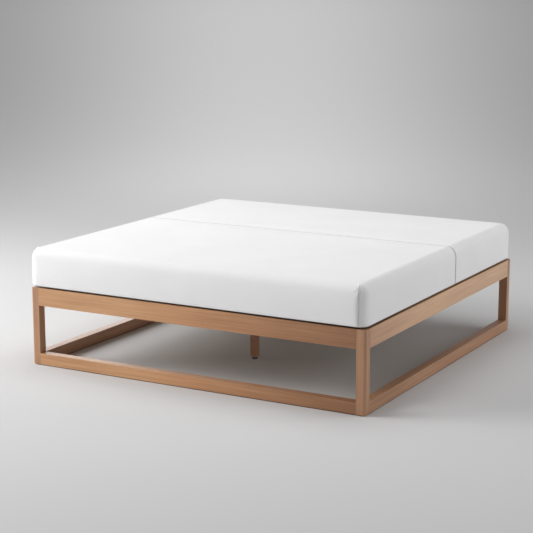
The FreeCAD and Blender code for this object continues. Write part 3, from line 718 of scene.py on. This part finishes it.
def swell(section):
    """Blows the cover up with the cloth simulation, and keeps its points within reach of the core."""
    block = section["block"]
    rest = [v.co.copy() for v in block.data.vertices]
    held = block.vertex_groups.new(name="held")
    for v in block.data.vertices:
        held.add([v.index], 1.0 if is_held(section, v.co) else 0.0, "REPLACE")
    cloth = block.modifiers.new("cover", "CLOTH")
    settings = cloth.settings
    settings.quality = 4
    settings.mass = 0.3
    settings.tension_stiffness = settings.compression_stiffness = 15
    settings.shear_stiffness = 8
    settings.bending_stiffness = 2.0
    settings.use_pressure = True
    settings.uniform_pressure_force = PRESSURE
    settings.vertex_group_mass = held.name
    settings.effector_weights.gravity = 0
    cloth.point_cache.frame_start, cloth.point_cache.frame_end = 1, SWELL_FRAMES
    scene = bpy.context.scene
    for number in range(1, SWELL_FRAMES + 1):
        scene.frame_set(number)
    moved = block.evaluated_get(bpy.context.evaluated_depsgraph_get()).to_mesh()
    shifts = [new.co - old for new, old in zip(moved.vertices, rest)]
    block.modifiers.remove(cloth)
    block.vertex_groups.remove(held)
    scene.frame_set(1)
    for v, old, shift in zip(block.data.vertices, rest, shifts):
        way = way_out(section, old)
        v.co = old + way * min(max(shift.dot(way), 0), room_to_move(section, old))
    print(block.name, "moved up to", round(max(s.length for s in shifts) * 1000, 1), "mm before the cap")


for section in sections.values():
    swell(section)


# %% [markdown]
# ## Gathered cloth
#
# A tight seam draws the cloth beside it down, and at its upper end, where the stitching stops on the
# rounded edge, the spare cloth springs out in small folds. Both are finer than the net that the simulation
# works on. So the cover is first subdivided once and then moved point by point: a shallow trough beside
# each seam, and a few folds that fan out from its end and die away.

# %% Gather the cloth where a seam ends
PUCKER_REACH, PUCKER_HEIGHT, PUCKER_FOLDS = 0.020, 0.0030, 6
DIP_SHIFT, DIP_WIDTH, DIP_DEPTH = 0.009, 0.010, 0.0042
DIP_START, DIP_OVER, DIP_END = 0.03, 0.006, 0.02
SEAM_END = 0.30
CORNER_NEAR, CORNER_FAR = 0.012, 0.12


def bell(share):
    """Close to 1 in the middle and falling away on both sides."""
    return 2.7 ** -(share * share)


def gather(section):
    """The cloth sinks towards each corner seam, and small folds spread from the seam's upper end."""
    block, low, high, outer = section["block"], section["low"], section["high"], section["outer"]
    for centre, direction in seams(section):
        along_arc = Vector((-direction.y, direction.x, 0))
        if direction.y * direction.x * outer < 0:
            along_arc.negate()
        top = centre + direction * (SECTION_CORNER - SEAM_END * SECTION_CROWN)
        top.z = high.z - SEAM_END * CROWN_DROP
        for v in block.data.vertices:
            out = Vector((v.co.x, v.co.y, 0)) - centre
            if out.dot(direction) < CORNER_NEAR or out.length > CORNER_FAR:
                continue
            side = out.dot(along_arc)
            dip = DIP_DEPTH * bell((side - DIP_SHIFT) / DIP_WIDTH)
            fade = (smooth_step((v.co.z - low.z) / DIP_START)
                    * smooth_step((top.z + DIP_OVER - v.co.z) / DIP_END))
            away = v.co - top
            reach = away.length / PUCKER_REACH
            turn = atan2(away.dot(along_arc), away.z - away.dot(direction))
            fold = PUCKER_HEIGHT * 0.5 * reach * 2.7 ** (1 - reach * reach) * cos(PUCKER_FOLDS * turn)
            v.co += v.normal * fold - direction * dip * fade


for section in sections.values():
    cover = section["block"]
    activate(cover)
    smooth = cover.modifiers.new("smooth", "SUBSURF")
    smooth.levels = smooth.render_levels = 1
    bpy.ops.object.modifier_apply(modifier=smooth.name)
    bpy.ops.object.shade_smooth()
    gather(section)
    print(cover.name, len(cover.data.polygons), "faces")


# %% [markdown]
# ## Finishing the covers
#
# Each cover takes the place of the designer's plain solid and moves with it when the section is lifted off
# the slats.

# %% Finish the covers
for node, section in sections.items():
    cover = section["block"]
    cover.data.materials.clear()
    cover.data.materials.append(cover_knit)
    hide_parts(node)
    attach(cover, "mattress_front" if "front" in node else "mattress_back")
    print(cover.name, "stands for", node)
